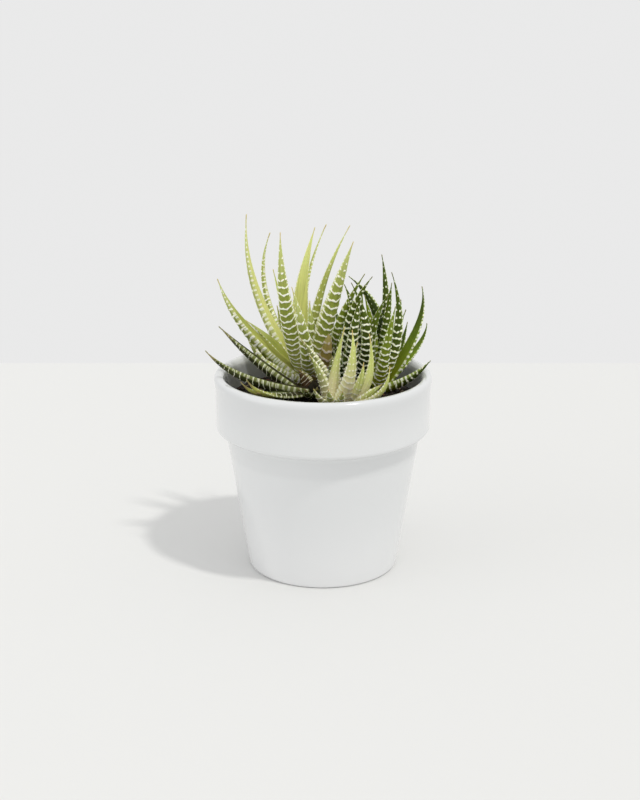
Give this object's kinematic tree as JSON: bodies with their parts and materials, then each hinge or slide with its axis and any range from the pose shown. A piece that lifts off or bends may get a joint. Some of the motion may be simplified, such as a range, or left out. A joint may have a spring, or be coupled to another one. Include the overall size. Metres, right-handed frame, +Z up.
{
  "type": "potted haworthia",
  "caption": "Haworthia with white-banded pointed leaves in several rosettes, rooted in dark potting soil in a glazed white ceramic pot with a tall rim band.",
  "frame": {"origin": "middle of the pot's foot, on the surface that it stands on", "axes": "+Z up; +X to the right and +Y to the back, as the plant is usually seen"},
  "size_m": [0.1137, 0.11, 0.179],
  "materials": {
    "glazed_pot": "smooth glossy white glaze",
    "potting_soil": "dark damp crumbly peat and bark mix",
    "yellow_green_leaf": "waxy yellow-green leaf with raised white cross bands and tan tips",
    "dark_green_leaf": "waxy dark green leaf with raised white bands and dots",
    "cream_leaf": "waxy pale green leaf, cream at the root, with small white bands",
    "olive_leaf": "waxy dark olive leaf with raised white bands"
  },
  "bodies": {
    "root": {"planter": "glazed_pot", "soil": "potting_soil", "main_rosette": "yellow_green_leaf", "middle_rosette": "dark_green_leaf", "right_rosette": "dark_green_leaf", "front_rosette": "cream_leaf", "left_rosette": "olive_leaf"}
  },
  "joints": []
}
